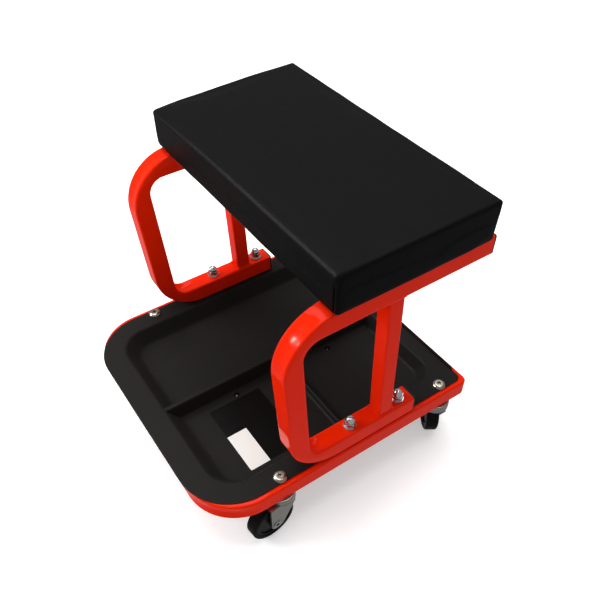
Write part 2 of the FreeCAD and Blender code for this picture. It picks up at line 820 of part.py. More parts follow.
def makeSeatScrews():
    screw = newBody("seat_screw", kept=False)
    turned(screw, [
        ("0", "-seatHeadHeight"),
        ("seatHeadRadius", "-seatHeadHeight", "seatHeadHeight - threadPlay"),
        ("seatHeadRadius", "0"),
        ("seatScrew / 2 - threadPlay", "0"),
        ("seatScrew / 2 - threadPlay", f"tube + {boardTop}"),
        ("0", f"tube + {boardTop}"),
    ])
    seat = f"deckHeight + {armUnder}"
    group("seat_screws", screw, fourPlaces(boltLine, seatScrewFront, seatScrewRear, seat))

    tee = newBody("tee_nut", kept=False)
    turned(tee, [
        ("seatScrew / 2", "-teeBarrelLength"),
        ("teeBarrelRadius", "-teeBarrelLength"),
        ("teeBarrelRadius", "0"),
        ("teeFlangeRadius", "0"),
        ("teeFlangeRadius", "teeFlangeHeight"),
        ("seatScrew / 2", "teeFlangeHeight"),
    ])
    seat = f"{seatFloor} + {boardTop}"
    group("tee_nuts", tee, fourPlaces(boltLine, seatScrewFront, seatScrewRear, seat))


# Casters


def makeCaster(name, x, y, heading):
    # Built about its own pivot: +X is the way it trails, Z is up from the ground

    def piece(label):
        return newBody(f"{name}_{label}", x=x, y=y, turn=heading)

    makeRaceCup(piece("race_cup"))
    makeKingpin(piece("kingpin"))
    makeBalls(f"{name}_balls", x, y, heading)
    makeFork(piece("fork"))
    makeSleeve(piece("axle_sleeve"))
    makeAxle(piece("axle_rivet"))
    makeCore(piece("wheel_core"))
    makeTyre(piece("tyre"))


def makeRaceCup(body):
    low = "(deckHeight - cupHeight)"
    turned(body, [
        (casterHole, "deckHeight"),
        (casterHole, "deckHeight - cupWall"),
        ("cupRadius - cupWall", "deckHeight - cupWall"),
        ("cupRadius - cupWall", low),
        ("cupRadius", low),
        ("cupRadius", "deckHeight", "cupWall"),
    ])


def makeKingpin(body):
    bore = "(casterBolt / 2 + threadPlay)"
    foot = f"({kingpinHeadTop} - kingpinHeadHeight)"
    turned(body, [
        (bore, "deckHeight - cupWall"),
        (bore, foot),
        ("kingpinHeadRadius", foot),
        ("kingpinHeadRadius", kingpinHeadTop),
        ("kingpinRadius", kingpinHeadTop),
        ("kingpinRadius", "deckHeight - cupWall"),
    ])


def makeBalls(label, x, y, heading):
    middle = f"{plateTop} + ballRadius + ballPlay"
    turn = f"360 / ballCount"
    balls = []
    for k in range(round(size("ballCount"))):
        ball = document.addObject("Part::Sphere", f"{label}_ball")
        ball.setExpression("Radius", bound("ballRadius"))
        angle = f"({heading} + {k} * {turn})"
        ball.setExpression("Placement.Base.x", bound(f"{x} + ballRingRadius * cos({angle})"))
        ball.setExpression("Placement.Base.y", bound(f"{y} + ballRingRadius * sin({angle})"))
        ball.setExpression("Placement.Base.z", bound(middle))
        balls.append(ball)
    made = document.addObject("Part::Compound", label)
    made.Label = label
    made.Links = balls
    subparts.append(made)


def makeFork(body):
    width = "(forkGap + 2 * forkLeg)"
    foot = "(wheelRadius - forkBoss)"
    pad(body, outline(body, "XZ_Plane", [
        ("-forkNose", plateTop),
        ("-forkNose", f"{plateTop} - forkNoseDrop"),
        ("trail - forkBoss", foot, "forkBoss"),
        ("trail + forkBoss", foot, "forkBoss - threadPlay"),
        ("trail + forkBoss", plateTop),
    ]), width, both=True)
    turned(body, rectangle("0", plateUnder, "cupRadius", plateTop))
    ground = f"{foot} - overrun"
    tail = "trail + forkBoss + overrun"
    pocket(body, outline(body, "XZ_Plane", rectangle("-forkNose - overrun", ground, tail, plateUnder)), "forkGap")
    pocket(body, circles(body, "XY_Plane", [("0", "0", "kingpinRadius + runningPlay")], z=plateTop),
           "2 * plateHeight + overrun")
    pocket(body, circles(body, "XZ_Plane", [("trail", "wheelRadius", "axleRadius + threadPlay")]),
           f"{width} + overrun")


def onAxle(body, corners):
    # Turned about the axle: x is the radius, y runs along the axle
    return turned(body, corners, role="XY_Plane", x="trail", z="wheelRadius")


def makeSleeve(body):
    onAxle(body, rectangle("axleRadius + threadPlay", "-forkGap / 2", "sleeveRadius", "forkGap / 2"))


def makeAxle(body):
    # A tube with its ends spread over the fork's legs
    leg = "(forkGap / 2 + forkLeg)"
    end = f"({leg} + rivetHeadHeight)"
    onAxle(body, [
        ("axleBore", f"-{end}"),
        ("rivetHeadRadius", f"-{end}"),
        ("rivetHeadRadius", f"-{leg}"),
        ("axleRadius", f"-{leg}"),
        ("axleRadius", leg),
        ("rivetHeadRadius", leg),
        ("rivetHeadRadius", end),
        ("axleBore", end),
    ])


def makeCore(body):
    rim = "(wheelRadius - tyreDepth)"
    hub = "(forkGap / 2 - hubGap)"
    onAxle(body, [
        ("sleeveRadius + runningPlay", f"-{hub}"),
        ("hubRadius", f"-{hub}"),
        ("hubRadius", "-coreWeb / 2"),
        (f"{rim} - coreRimDepth", "-coreWeb / 2"),
        (f"{rim} - coreRimDepth", "-coreRimWidth / 2"),
        (rim, "-coreRimWidth / 2"),
        (rim, "coreRimWidth / 2"),
        (f"{rim} - coreRimDepth", "coreRimWidth / 2"),
        (f"{rim} - coreRimDepth", "coreWeb / 2"),
        ("hubRadius", "coreWeb / 2"),
        ("hubRadius", hub),
        ("sleeveRadius + runningPlay", hub),
    ])


def makeTyre(body):
    rim = "(wheelRadius - tyreDepth)"
    side = "tyreWidth / 2"
    onAxle(body, [
        (rim, f"-{side}"),
        ("wheelRadius", f"-{side}", "tyreEdge"),
        ("wheelRadius", side, "tyreEdge"),
        (rim, side),
    ])


makeBaseFrame()
makeRearBar()
makeTray()
for name, side in (("left", -1), ("right", 1)):
    makeSideFrame(name, side)
    makeStrut(name, side)
makeEndPlugs()
makeSeatBoard()
makeSeatFoam()
makeSeatCover()
makeStaples()
makeFrameBolts()
makeCasterBolts()
makeSeatScrews()
makeCaster("front_right", boltLine, casterFront, "frontRightHeading")
makeCaster("rear_right", boltLine, casterRear, "rearRightHeading")
makeCaster("front_left", f"(-1 * {boltLine})", casterFront, "frontLeftHeading")
makeCaster("rear_left", f"(-1 * {boltLine})", casterRear, "rearLeftHeading")
document.recompute()

for item in document.Objects:
    if {"Invalid", "Error"} & set(item.State):
        raise RuntimeError(f"{item.Label} failed: {item.State}")
for subpart in subparts:
    if subpart.Shape.isNull() or not subpart.Shape.isValid():
        raise RuntimeError(f"{subpart.Label} has no valid shape")

os.makedirs("parts", exist_ok=True)
for subpart in subparts:
    subpart.Shape.exportStep(f"parts/{subpart.Label}.step")
whole = Part.makeCompound([subpart.Shape for subpart in subparts]).optimalBoundingBox(True, False)
print(f"{len(subparts)} sub-parts, {whole.XLength:.1f} x {whole.YLength:.1f} x {whole.ZLength:.1f} mm")
print(f"lowest corner {whole.XMin:.2f} {whole.YMin:.2f} {whole.ZMin:.2f}")
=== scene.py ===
import json
import math
import bpy
import bmesh
from mathutils import Matrix, Vector, noise


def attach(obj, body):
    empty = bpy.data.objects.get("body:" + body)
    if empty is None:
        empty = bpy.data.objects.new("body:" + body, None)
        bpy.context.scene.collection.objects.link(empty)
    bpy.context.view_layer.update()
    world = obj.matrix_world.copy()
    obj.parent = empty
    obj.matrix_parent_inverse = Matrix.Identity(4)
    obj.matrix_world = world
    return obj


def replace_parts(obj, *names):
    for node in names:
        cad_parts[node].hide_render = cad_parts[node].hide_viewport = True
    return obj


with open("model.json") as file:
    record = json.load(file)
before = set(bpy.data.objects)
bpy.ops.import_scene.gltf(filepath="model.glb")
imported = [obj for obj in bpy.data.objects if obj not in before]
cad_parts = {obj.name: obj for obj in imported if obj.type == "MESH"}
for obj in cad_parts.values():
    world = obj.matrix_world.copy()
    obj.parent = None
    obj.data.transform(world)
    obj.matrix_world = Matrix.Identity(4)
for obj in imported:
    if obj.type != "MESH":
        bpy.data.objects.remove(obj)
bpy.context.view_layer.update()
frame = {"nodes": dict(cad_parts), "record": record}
nodes = frame["nodes"]
scene = bpy.context.scene
mm = 0.001

# Camera, as the photograph was taken: millimetres in the part's frame
photoCamera = {
    "place": (520.1, -300.1, 761.1),
    "target": (7.74, 42.28, 75.19),
    "roll": -0.01,
    "focalPixels": 657.1,
    "imagePixels": 600,
    "sensorWidth": 36,
    "shiftY": 0.1,
}


def makeCamera(c):
    data = bpy.data.cameras.new("photoCamera")
    camera = bpy.data.objects.new("photoCamera", data)
    scene.collection.objects.link(camera)
    place = Vector(c["place"]) * mm
    forward = (Vector(c["target"]) * mm - place).normalized()
    right = forward.cross(Vector((0, 0, 1))).normalized()
    up = right.cross(forward)
    turn = Matrix((right, up, -forward)).transposed() @ Matrix.Rotation(c["roll"], 3, "Z")
    camera.matrix_world = Matrix.Translation(place) @ turn.to_4x4()
    data.sensor_width = c["sensorWidth"]
    data.lens = c["focalPixels"] / c["imagePixels"] * data.sensor_width
    data.shift_y = c["shiftY"]
    scene.camera = camera


makeCamera(photoCamera)
print("camera placed")

# Studio: pale floor, big soft lamps, white surroundings (metres)
studio = {
    "floorSize": 6.0,
    "floorColour": (0.93, 0.93, 0.93),
    "floorRoughness": 0.9,
    "floorSpecular": 0.1,
    "floorLift": 0.42,      # own light of the floor where it is looked at
    "worldLight": 0.34,     # how strongly the surroundings light the seat
    "worldSeen": 1.0,       # how bright they are where they are looked at
    "mirrored": 0.15,       # share of that brightness in reflections
    "lamps": (
        # place, aim, size, watts, seen in reflections
        ((-0.3, 0.2, 1.9), (0, 0, 0.2), 1.6, 38, True),
        ((-0.7, -1.2, 1.15), (0, 0, 0.25), 0.7, 13, False),
        ((-1.6, -0.6, 0.9), (0, 0, 0.2), 1.0, 7, False),
    ),
    "glints": (
        # middle of a group of upright strips, aim, strips, watts each; they give no diffuse light
        ((-0.72, -1.17, 0.88), (0.1725, -0.09, 0.34), 3, 11),
        ((-0.72, -0.85, 1.20), (0.1725, -0.09, 0.34), 2, 10),
    ),
    "stripWidth": 0.012,
    "stripHeight": 0.15,
    "stripStep": 0.1,
}


def seenDirectly(tree, mirrored):
    # 1 where the camera looks at the surface, straight or through glass, and less in reflections
    path = tree.nodes.new("ShaderNodeLightPath")
    share = tree.nodes.new("ShaderNodeMath")
    share.operation = "MULTIPLY"
    share.inputs[1].default_value = mirrored
    tree.links.new(path.outputs["Is Glossy Ray"], share.inputs[0])
    seen = share.outputs[0]
    for ray in ("Is Camera Ray", "Is Transmission Ray"):
        larger = tree.nodes.new("ShaderNodeMath")
        larger.operation = "MAXIMUM"
        tree.links.new(path.outputs[ray], larger.inputs[0])
        tree.links.new(seen, larger.inputs[1])
        seen = larger.outputs[0]
    return seen


def makeLamp(place, aim, width, height, watts):
    data = bpy.data.lights.new("softLamp", "AREA")
    data.shape = "RECTANGLE"
    data.size = width
    data.size_y = height
    data.energy = watts
    lamp = bpy.data.objects.new("softLamp", data)
    lamp.location = place
    lamp.rotation_euler = (Vector(aim) - Vector(place)).to_track_quat("-Z", "Y").to_euler()
    scene.collection.objects.link(lamp)
    return lamp


def makeSurroundings(c):
    world = bpy.data.worlds.new("studio")
    scene.world = world
    world.use_nodes = True
    tree = world.node_tree
    background = tree.nodes["Background"]
    background.inputs["Color"].default_value = (1, 1, 1, 1)
    strength = tree.nodes.new("ShaderNodeMapRange")
    tree.links.new(seenDirectly(tree, c["mirrored"]), strength.inputs["Value"])
    strength.inputs["To Min"].default_value = c["worldLight"]
    strength.inputs["To Max"].default_value = c["worldSeen"]
    tree.links.new(strength.outputs["Result"], background.inputs["Strength"])


def makeFloor(c):
    half = c["floorSize"] / 2
    corners = [(-half, -half, 0), (half, -half, 0), (half, half, 0), (-half, half, 0)]
    mesh = bpy.data.meshes.new("floor")
    mesh.from_pydata(corners, [], [(0, 1, 2, 3)])
    floor = bpy.data.objects.new("floor", mesh)
    scene.collection.objects.link(floor)
    material = bpy.data.materials.new("paleFloor")
    material.use_nodes = True
    tree = material.node_tree
    shader = tree.nodes["Principled BSDF"]
    shader.inputs["Base Color"].default_value = (*c["floorColour"], 1)
    shader.inputs["Roughness"].default_value = c["floorRoughness"]
    shader.inputs["Specular IOR Level"].default_value = c["floorSpecular"]
    shader.inputs["Emission Color"].default_value = (1, 1, 1, 1)
    lift = tree.nodes.new("ShaderNodeMath")
    lift.operation = "MULTIPLY"
    lift.inputs[1].default_value = c["floorLift"]
    tree.links.new(seenDirectly(tree, c["mirrored"]), lift.inputs[0])
    tree.links.new(lift.outputs[0], shader.inputs["Emission Strength"])
    mesh.materials.append(material)
    floor.visible_glossy = False


def makeLamps(c):
    for place, aim, size, watts, reflected in c["lamps"]:
        lamp = makeLamp(place, aim, size, size, watts)
        lamp.visible_glossy = reflected
    for place, aim, strips, watts in c["glints"]:
        away = (Vector(place) - Vector(aim)).normalized()
        sideways = Vector((0, 0, 1)).cross(away).normalized()
        for k in range(strips):
            at = Vector(place) + sideways * c["stripStep"] * (k - (strips - 1) / 2)
            lamp = makeLamp(at, aim, c["stripWidth"], c["stripHeight"], watts)
            lamp.visible_diffuse = False


makeSurroundings(studio)
makeFloor(studio)
makeLamps(studio)
scene.view_settings.view_transform = "Standard"
print("studio lit")

# Finishes: a colour, how it varies, and the fine relief of its surface
finishes = {
    "redPaint": {
        "slot": "red_powder_coat",
        "colour": (0.83, 0.020, 0.0015), "second": (0.76, 0.016, 0.001),
        "roughness": 0.035, "specular": 0.07, "grain": 900, "relief": 0.002, "patch": 14,
    },
    "trayPaint": {
        "slot": "tray_coating",
        "colour": (0.0115, 0.0113, 0.011), "second": (0.0165, 0.0155, 0.0145),
        "roughness": 0.5, "specular": 0.03, "grain": 1500, "relief": 0.03, "patch": 9,
    },
    "seatVinyl": {
        "slot": "seat_vinyl",
        "colour": (0.0030, 0.0030, 0.0032), "second": (0.0044, 0.0043, 0.0042),
        "roughness": 0.46, "specular": 0.03, "grain": 800, "relief": 0.1, "patch": 7,
        "cells": True,
    },
    "tyreRubber": {
        "slot": "wheel_rubber", "colour": (0.006, 0.006, 0.006), "second": (0.010, 0.010, 0.010),
        "roughness": 0.4, "specular": 0.03, "grain": 700, "relief": 0.05, "patch": 40,
    },
    "wheelPlastic": {
        "slot": "wheel_plastic", "colour": (0.010, 0.010, 0.010), "second": (0.015, 0.015, 0.015),
        "roughness": 0.35, "specular": 0.06, "grain": 500, "relief": 0.03, "patch": 60,
    },
    "zinc": {
        "slot": "zinc_plate", "colour": (0.36, 0.35, 0.33), "second": (0.27, 0.265, 0.25),
        "roughness": 0.33, "metallic": 1, "grain": 600, "relief": 0.03, "patch": 60,
    },
    "nickel": {
        "slot": "nickel_screw", "colour": (0.36, 0.32, 0.27), "second": (0.27, 0.24, 0.20),
        "roughness": 0.25, "metallic": 1, "grain": 400, "relief": 0.02, "patch": 80,
    },
    "brightZinc": {
        "slot": "bright_fastener", "colour": (0.62, 0.63, 0.65), "second": (0.46, 0.47, 0.50),
        "roughness": 0.14, "metallic": 1, "grain": 400, "relief": 0.015, "patch": 90,
    },
    "steel": {
        "slot": "caster_steel", "colour": (0.45, 0.45, 0.45), "second": (0.36, 0.36, 0.36),
        "roughness": 0.34, "metallic": 1, "grain": 500, "relief": 0.02, "patch": 70,
    },
    "plugPlastic": {
        "slot": "plug_plastic", "colour": (0.006, 0.006, 0.006), "second": (0.010, 0.010, 0.010),
        "roughness": 0.5, "specular": 0.2, "grain": 900, "relief": 0.03, "patch": 30,
    },
    "foam": {
        "slot": "foam", "colour": (0.62, 0.55, 0.36), "second": (0.54, 0.47, 0.30),
        "roughness": 0.95, "specular": 0.1, "grain": 500, "relief": 0.2, "patch": 30,
        "cells": True,
    },
    "plywood": {
        "slot": "plywood", "colour": (0.50, 0.33, 0.17), "second": (0.36, 0.22, 0.10),
        "roughness": 0.75, "specular": 0.3, "grain": 300, "relief": 0.1, "patch": 12,
        "stretch": (1, 14, 14),
    },
}

# What all finishes share
finishRules = {
    "patchDetail": 4,
    "roughnessSpread": 0.12,    # how far the roughness strays from its value, as a share
    "reliefGain": 4,            # strength of the bump for a relief of 1
    "reliefDepth": 0.0004,
}


def makeFinish(name, c, rules):
    material = bpy.data.materials.new(name)
    material.use_nodes = True
    tree = material.node_tree
    shader = tree.nodes["Principled BSDF"]
    shader.inputs["Metallic"].default_value = c.get("metallic", 0)
    shader.inputs["Specular IOR Level"].default_value = c.get("specular", 0.5)
    where = tree.nodes.new("ShaderNodeTexCoord")
    scaled = tree.nodes.new("ShaderNodeMapping")
    scaled.inputs["Scale"].default_value = c.get("stretch", (1, 1, 1))
    tree.links.new(where.outputs["Object"], scaled.inputs["Vector"])

    patches = tree.nodes.new("ShaderNodeTexNoise")
    patches.inputs["Scale"].default_value = c["patch"]
    patches.inputs["Detail"].default_value = rules["patchDetail"]
    tree.links.new(scaled.outputs["Vector"], patches.inputs["Vector"])
    mix = tree.nodes.new("ShaderNodeMix")
    mix.data_type = "RGBA"
    mix.inputs["A"].default_value = (*c["colour"], 1)
    mix.inputs["B"].default_value = (*c["second"], 1)
    tree.links.new(patches.outputs["Fac"], mix.inputs["Factor"])
    tree.links.new(mix.outputs["Result"], shader.inputs["Base Color"])

    rough = tree.nodes.new("ShaderNodeMapRange")
    rough.inputs["To Min"].default_value = c["roughness"] * (1 - rules["roughnessSpread"])
    rough.inputs["To Max"].default_value = c["roughness"] * (1 + rules["roughnessSpread"])
    tree.links.new(patches.outputs["Fac"], rough.inputs["Value"])
    tree.links.new(rough.outputs["Result"], shader.inputs["Roughness"])

    cells = c.get("cells")
    grain = tree.nodes.new("ShaderNodeTexVoronoi" if cells else "ShaderNodeTexNoise")
    grain.inputs["Scale"].default_value = c["grain"]
    tree.links.new(scaled.outputs["Vector"], grain.inputs["Vector"])
    relief = tree.nodes.new("ShaderNodeBump")
    relief.inputs["Strength"].default_value = min(1, c["relief"] * rules["reliefGain"])
    relief.inputs["Distance"].default_value = rules["reliefDepth"]
    tree.links.new(grain.outputs["Distance" if cells else "Fac"], relief.inputs["Height"])
    tree.links.new(relief.outputs["Normal"], shader.inputs["Normal"])
    return material


materials = {name: makeFinish(name, c, finishRules) for name, c in finishes.items()}
bySlot = {c["slot"]: materials[name] for name, c in finishes.items()}
slotOf = {row["node"]: row["material_slot"] for row in frame["record"]["subparts"]}


def paintNode(name):
    mesh = nodes[name].data
    material = bySlot.get(slotOf[name], materials["steel"])
    if not mesh.materials:
        mesh.materials.append(material)
    for k in range(len(mesh.materials)):
        mesh.materials[k] = material


for nodeName in nodes:
    paintNode(nodeName)
print("finishes made and CAD nodes painted")


def newPiece(name, mesh, finish, body="base"):
    # A finished mesh becomes a piece of the seat and takes its finish
    piece = bpy.data.objects.new(name, mesh)
    scene.collection.objects.link(piece)
    if not mesh.materials:
        mesh.materials.append(materials[finish])
    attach(piece, body)
    return piece


def finishMesh(bm, name, smooth=True, weld=0.00002):
    if weld:
        bmesh.ops.remove_doubles(bm, verts=bm.verts, dist=weld)
    bmesh.ops.recalc_face_normals(bm, faces=bm.faces)
    for face in bm.faces:
        face.smooth = smooth
    mesh = bpy.data.meshes.new(name)
    bm.to_mesh(mesh)
    bm.free()
    return mesh


def evaluated(obj, name):
    # The mesh with its modifiers worked in, and no modifier left
    graph = bpy.context.evaluated_depsgraph_get()
    mesh = bpy.data.meshes.new_from_object(obj.evaluated_get(graph), depsgraph=graph)
    mesh.name = name
    return mesh


def thickened(mesh, name, thickness, even):
    # The face turned into a sheet that grows inward from it
    obj = bpy.data.objects.new(name + "Face", mesh)
    scene.collection.objects.link(obj)
    sheet = obj.modifiers.new("sheet", "SOLIDIFY")
    sheet.thickness = thickness * mm
    sheet.offset = -1
    sheet.use_even_offset = even
    made = evaluated(obj, name)
    bpy.data.objects.remove(obj)
    return made


def bezier(a, b, c, steps):
    # Points of a fillet that leaves a towards b and arrives at c
    rows = []
    for k in range(steps + 1):
        t = k / steps
        weights = ((1 - t) ** 2, 2 * t * (1 - t), t * t)
        rows.append(tuple(sum(w * v for w, v in zip(weights, row)) for row in zip(a, b, c)))
    return rows


# Bent square tube, crushed a little where it turns (millimetres)
tube = {
    "width": 25,
    "edge": 2.6,
    "edgeSteps": 5,
    "bendSteps": 26,
    "wall": 1.5,
    "endBore": 13,
    "outerDish": 1.5,    # how far the outside of a bend sinks between its edges
    "innerDent": 3.2,    # how far the inside of a tight bend is pushed in
    "sideSwell": 0.5,    # how far its sides stand out
    "innerEdge": 0.6,    # share of the wall that the bore's rounding loses, and its least value
    "dishPower": 1.5,    # how sharply a dish falls off towards the edges
    "across": (0.03, 0.14, 0.32, 0.5, 0.68, 0.86, 0.97),    # rows of points on each flat side
    "sharpAngle": 50,
}


def tubeRing(c, outer, inner, side, crush=0, inset=0, dent=1):
    # One ring round the tube: u runs across it, v from its inner to its outer side
    half = c["width"] / 2 - inset
    depth = (outer - inner).length
    along = (outer - inner) / depth
    low, high = inset, depth - inset
    near = 0.01    # points this close to a side belong to it
    radius = max(c["edge"] - inset * c["innerEdge"], c["innerEdge"])
    flatU = half - radius
    corners = (
        (flatU, high - radius, 0), (-flatU, high - radius, 90),
        (-flatU, low + radius, 180), (flatU, low + radius, 270),
    )
    points = []
    for k, (cu, cv, start) in enumerate(corners):
        for step in range(c["edgeSteps"] + 1):
            angle = math.radians(start + 90 * step / c["edgeSteps"])
            points.append((cu + radius * math.cos(angle), cv + radius * math.sin(angle)))
        nu, nv, _ = corners[(k + 1) % 4]
        last = points[-1]
        turn = math.radians(start + 90)
        goal = (nu + radius * math.cos(turn), nv + radius * math.sin(turn))
        for share in c["across"]:
            points.append(tuple(a + (b - a) * share for a, b in zip(last, goal)))
    ring = []
    for u, v in points:
        middle = max(0, 1 - (u / flatU) ** 2) ** c["dishPower"]
        if v > high - near:
            v -= crush * c["outerDish"] * middle
        elif v < low + near:
            v += crush * dent * c["innerDent"] * middle
        elif abs(u) > half - near:
            swell = c["sideSwell"] * math.sin(math.pi * (v - low) / (high - low)) ** 2
            u += math.copysign(crush * swell, u)
        ring.append((inner + along * v + side * u) * mm)
    return ring


def onBend(corner, arrive, leave, radius, turn, reach, share):
    # A point part of the way round: along one side, round the arc, along the other side
    angle = arrive.angle(leave)
    straight = reach - radius * math.tan(angle / 2)
    total = 2 * straight + radius * angle
    at = share * total
    if at < straight:
        return corner - arrive * (reach - at)
    if at > total - straight:
        return corner + leave * (reach - (total - at))
    begin = corner - arrive * (reach - straight)
    centre = begin + Vector((-turn * arrive.y, turn * arrive.x)) * radius
    return centre + Matrix.Rotation(turn * (at - straight) / radius, 2) @ (begin - centre)


def bendStations(c, corner, arrive, leave, outerRadius, innerRadius, turn, dent, crush=1):
    # Pairs of outer and inner points round one bend, drawn flat: turn is 1 left, -1 right
    arrive, leave = arrive.normalized(), leave.normalized()
    slope = math.tan(arrive.angle(leave) / 2)
    offset = c["width"] * slope
    inward = Vector((-turn * arrive.y, turn * arrive.x))
    innerCorner = corner + inward * c["width"] - arrive * offset
    reach = max(outerRadius * slope, innerRadius * slope + offset)
    rows = []
    for k in range(c["bendSteps"] + 1):
        t = k / c["bendSteps"]
        outer = onBend(corner, arrive, leave, outerRadius, turn, reach, t)
        inner = onBend(innerCorner, arrive, leave, innerRadius, turn, reach - offset, t)
        rows.append((outer, inner, crush * math.sin(math.pi * t) ** 2, dent))
    return rows


def sweepTube(c, name, stations, lift, side, closed=False):
    # lift turns a flat point into a place, and each station is outer, inner, crush and dent
    rings = [
        tubeRing(c, lift(outer), lift(inner), side, crush, 0, dent)
        for outer, inner, crush, dent in stations
    ]
    if not closed:
        # The wall shows at each end, with the bore behind it
        for at, step in ((0, 1), (len(stations) - 1, -1)):
            outer, inner = lift(stations[at][0]), lift(stations[at][1])
            ahead = lift(stations[at + step][0]) - outer
            deep = ahead.normalized() * c["endBore"]
            mouth = tubeRing(c, outer, inner, side, inset=c["wall"])
            bottom = tubeRing(c, outer + deep, inner + deep, side, inset=c["wall"])
            if at == 0:
                rings[:0] = [bottom, mouth]
            else:
                rings += [mouth, bottom]
    bm = bmesh.new()
    loops = [[bm.verts.new(p) for p in ring] for ring in rings]
    count = len(loops[0])
    for a, b in zip(loops, loops[1:] + loops[:1] if closed else loops[1:]):
        for k in range(count):
            bm.faces.new((a[k], a[(k + 1) % count], b[(k + 1) % count], b[k]))
    if not closed:
        bm.faces.new(loops[0])
        bm.faces.new(list(reversed(loops[-1])))
    mesh = finishMesh(bm, name)
    mesh.set_sharp_from_angle(angle=math.radians(c["sharpAngle"]))
    return mesh


# Side frames: the outline of the C, heights above the ground (millimetres)
sideFrame = {
    "middle": 166,
    "low": 101.5,
    "high": 341,
    "footEnd": 97,
    "armEnd": 173,
    "lowCorner": -80.98,
    "highCorner": -94.4,
    "footBend": 67,
    "armBend": 65,
    "innerBend": 20,
    "footDent": 1.7,    # share of the tube's inner dent in each bend
    "armDent": 0.35,
}


def makeSideFrame(name, sign, c):
    foot = Vector((c["lowCorner"], c["low"]))
    top = Vector((c["highCorner"], c["high"]))
    post = top - foot
    toFront, toRear = Vector((-1, 0)), Vector((1, 0))
    depth = Vector((0, tube["width"]))
    start = Vector((c["footEnd"], c["low"]))
    end = Vector((c["armEnd"], c["high"]))
    inner = c["innerBend"]
    low = bendStations(tube, foot, toFront, post, c["footBend"], inner, -1, c["footDent"])
    high = bendStations(tube, top, post, toRear, c["armBend"], inner, -1, c["armDent"])
    stations = [(start, start + depth, 0, 0), *low, *high, (end, end - depth, 0, 0)]
    lift = lambda p: Vector((sign * c["middle"], p.x, p.y))
    mesh = sweepTube(tube, name, stations, lift, Vector((1, 0, 0)))
    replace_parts(newPiece(name, mesh, "redPaint"), name.replace("Tube", "_side_frame"))


for name, sign in (("leftTube", -1), ("rightTube", 1)):
    makeSideFrame(name, sign, sideFrame)
print("side frames bent")

# Base tube and the bar welded across its rear, seen from above (millimetres)
baseTube = {
    "halfWidth": 180,
    "front": -188,
    "rear": 192,
    "middleHeight": 87.5,
    "frontBend": (66, 41),    # outer and inner radius
    "rearCorner": (8, 2),
    "frontCrush": 1.5,
    "frontDent": 0.3,
}


def makeBaseTube(c):
    x, front, rear = c["halfWidth"], c["front"], c["rear"]
    toFront, toRight, toRear, toLeft = (Vector(way) for way in ((0, -1), (1, 0), (0, 1), (-1, 0)))
    bend = (*c["frontBend"], 1, c["frontDent"], c["frontCrush"])
    corner = (*c["rearCorner"], 1, 0, 0)
    stations = bendStations(tube, Vector((-x, front)), toFront, toRight, *bend)
    stations += bendStations(tube, Vector((x, front)), toRight, toRear, *bend)
    stations += bendStations(tube, Vector((x, rear)), toRear, toLeft, *corner)
    stations += bendStations(tube, Vector((-x, rear)), toLeft, toFront, *corner)
    lift = lambda p: Vector((p.x, p.y, c["middleHeight"]))
    mesh = sweepTube(tube, "baseTube", stations, lift, Vector((0, 0, 1)), closed=True)
    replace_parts(newPiece("baseTube", mesh, "redPaint"), "base_frame", "rear_bar")


makeBaseTube(baseTube)
print("base tube bent")

# Pressed tray: rings from its flange in to its floor (millimetres)
tray = {
    # half width, front, rear, front corner, rear corner, height
    "flange": (174, -192, 186, 70, 9, 101.5),
    "mouth": (146.5, -160, 163, 38, 24, 101.5),
    "foot": (135, -143, 157, 24, 24, 79),
    "edge": 0.6,
    "edgeShare": 0.3,         # where the middle row of the flange's rounded edge lies
    "flangeRow": 2,           # rows of points that keep the flat parts flat
    "mouthRow": 1.5,
    "footRow": 0.5,
    "mouthFillet": 2.4,
    "footFillet": 4.5,
    "mouthSteps": 6,
    "footSteps": 9,
    "straightWall": (0.11, 0.82),    # the part of the wall's slope between its fillets
    "cornerSteps": 14,
    "sideSteps": 10,
    "sheet": 1.5,
    "rib": {"foot": 7, "top": 3, "rise": 22, "footFillet": 3.4, "topFillet": 2.2, "rows": 24},
    "crossRib": {
        "foot": 4, "top": 1.5, "rise": 8, "footFillet": 3, "topFillet": 1.3, "rows": 12,
        "middle": 19,
    },
    "ribSteps": 6,
    "ribOver": 0.4,           # how far a rib runs into the wall
    "ribTuck": 0.6,           # how far the cross rib runs into the long rib
    "footTuck": 0.2,          # and its foot under the long rib's foot
    "lip": {
        "half": 156, "height": 4.5, "thick": 1.5, "corner": 4, "steps": 8,
        "sunk": 0.5, "bevel": 0.35, "bevelSteps": 2,
    },
    "drains": ((14, -64), (14, 85)),
    "drainRadius": 2.5,
    "drainDepth": 5,
    "drainSides": 20,
    "collarWeld": 0.01,       # points of a drain's collar closer than this are merged
    "sharpAngle": 40,
}


def grown(level, by, height=None):
    x, front, rear, frontCorner, rearCorner, z = level
    z = z if height is None else height
    return (x + by, front - by, rear + by, frontCorner + by, rearCorner + by, z)


def ringPlaces(c, level):
    # Points round one level of the tray, with the same count on every level
    x, front, rear, frontCorner, rearCorner, z = level
    corners = (
        (-x, front, frontCorner, 180), (x, front, frontCorner, 270),
        (x, rear, rearCorner, 0), (-x, rear, rearCorner, 90),
    )
    places = []
    for k, (cx, cy, radius, start) in enumerate(corners):
        ox = cx - math.copysign(radius, cx)
        oy = cy + radius if k < 2 else cy - radius
        for step in range(c["cornerSteps"] + 1):
            angle = math.radians(start + 90 * step / c["cornerSteps"])
            places.append(Vector((ox + radius * math.cos(angle), oy + radius * math.sin(angle), z)))
    full = []
    per = c["cornerSteps"] + 1
    for k in range(4):
        full += places[k * per:(k + 1) * per]
        a, b = places[(k + 1) * per - 1], places[((k + 1) % 4) * per]
        full += [a.lerp(b, s / c["sideSteps"]) for s in range(1, c["sideSteps"])]
    return full


